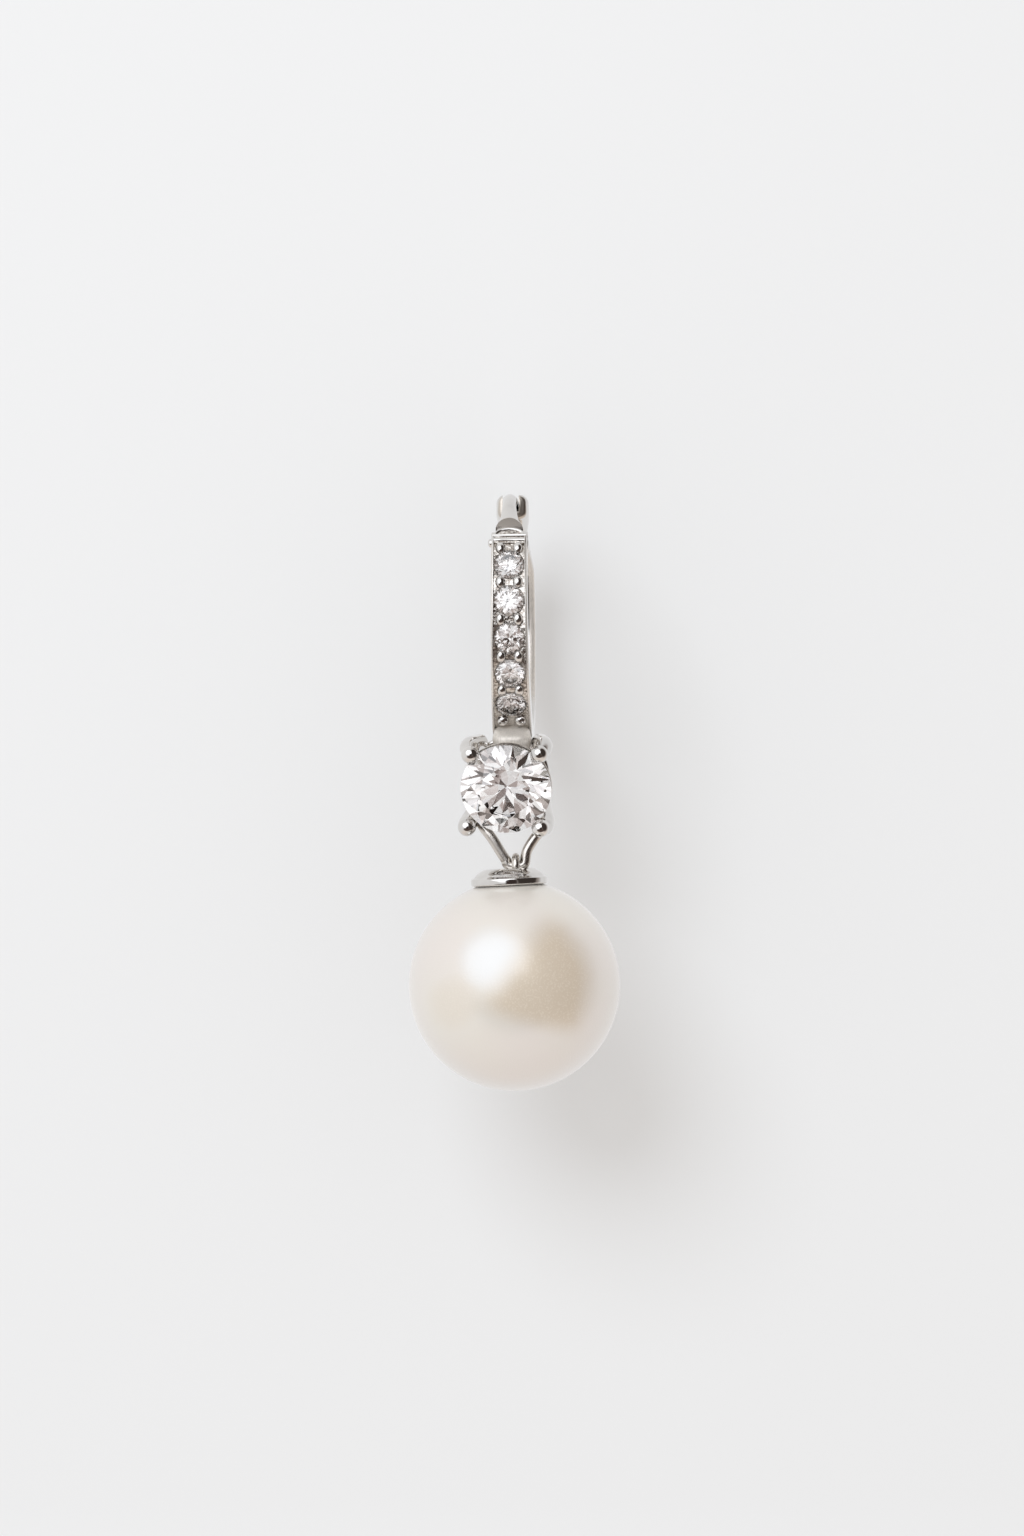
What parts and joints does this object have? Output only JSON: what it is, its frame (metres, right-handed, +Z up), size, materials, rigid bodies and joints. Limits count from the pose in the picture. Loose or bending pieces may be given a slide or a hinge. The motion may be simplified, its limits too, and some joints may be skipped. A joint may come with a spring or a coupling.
{
  "type": "pearl hoop earring",
  "caption": "Hinged hoop earring with a stone-set front, a round stone in a prong basket below it and a pearl that swings from a V of wire.",
  "frame": {"origin": "underside of the ear wire at the top of the hoop, where the earring hangs from the ear", "axes": "+Z up, -Y towards the front with the stones, +X to the side, along the hinge pin"},
  "size_m": [0.01, 0.014, 0.0284],
  "materials": {
    "polished_silver": "polished white metal plating",
    "clear_stone": "faceted and clear, polished",
    "pearl_nacre": "cream pearl with a soft lustre and a fine sparkling grain"
  },
  "bodies": {
    "hoop": {"hoop_frame": "polished_silver", "hinge_pin": "polished_silver", "bar_stone_1": "clear_stone", "bar_stone_2": "clear_stone", "bar_stone_3": "clear_stone", "bar_stone_4": "clear_stone", "bar_stone_5": "clear_stone", "centre_stone": "clear_stone"},
    "ear_wire": {"ear_wire": "polished_silver"},
    "drop": {"pearl_cap": "polished_silver", "pearl": "pearl_nacre"}
  },
  "joints": [
    {"name": "ear_wire_hinge", "type": "hinge", "parent": "hoop", "child": "ear_wire", "pos_m": [0, -0.00352, -0.00172], "axis": [1, 0, 0], "range_deg": [0, 60]},
    {"name": "drop_swing", "type": "hinge", "parent": "hoop", "child": "drop", "pos_m": [0, -0.003, -0.01702], "axis": [1, 0, 0], "range_deg": [-60, 60]}
  ]
}
